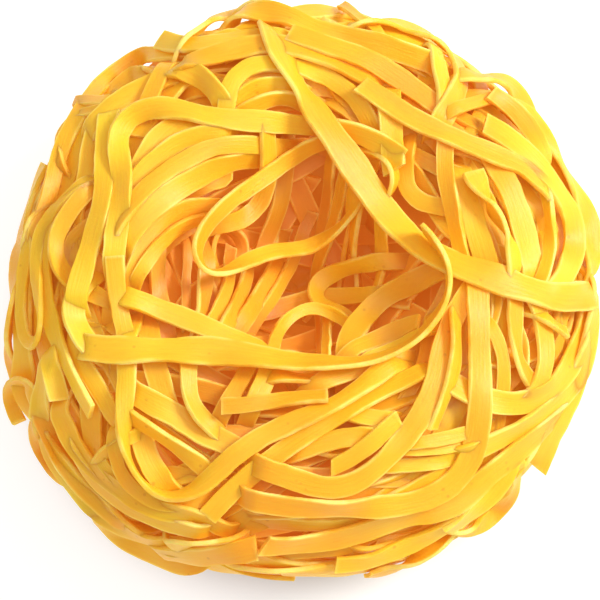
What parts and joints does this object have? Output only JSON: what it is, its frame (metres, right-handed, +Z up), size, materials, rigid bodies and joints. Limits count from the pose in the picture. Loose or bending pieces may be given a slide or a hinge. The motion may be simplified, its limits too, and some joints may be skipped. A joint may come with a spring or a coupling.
{
  "type": "dry pasta nest",
  "caption": "Round heap of flat dried pasta ribbons wound about a shallow hollow, resting on a flat base, with loops and cut ends standing off its rim.",
  "frame": {"origin": "middle of the flat base that the nest rests on", "axes": "+Z up, out of the hollow; +Y away from the viewer who looks down on the nest, +X to that viewer's right"},
  "size_m": [0.0751, 0.072, 0.0395],
  "materials": {
    "dried_pasta": "satin dried egg dough, slightly translucent, with rough pale cut edges and fine specks"
  },
  "bodies": {
    "root": {"pasta_nest": "dried_pasta"}
  },
  "joints": []
}
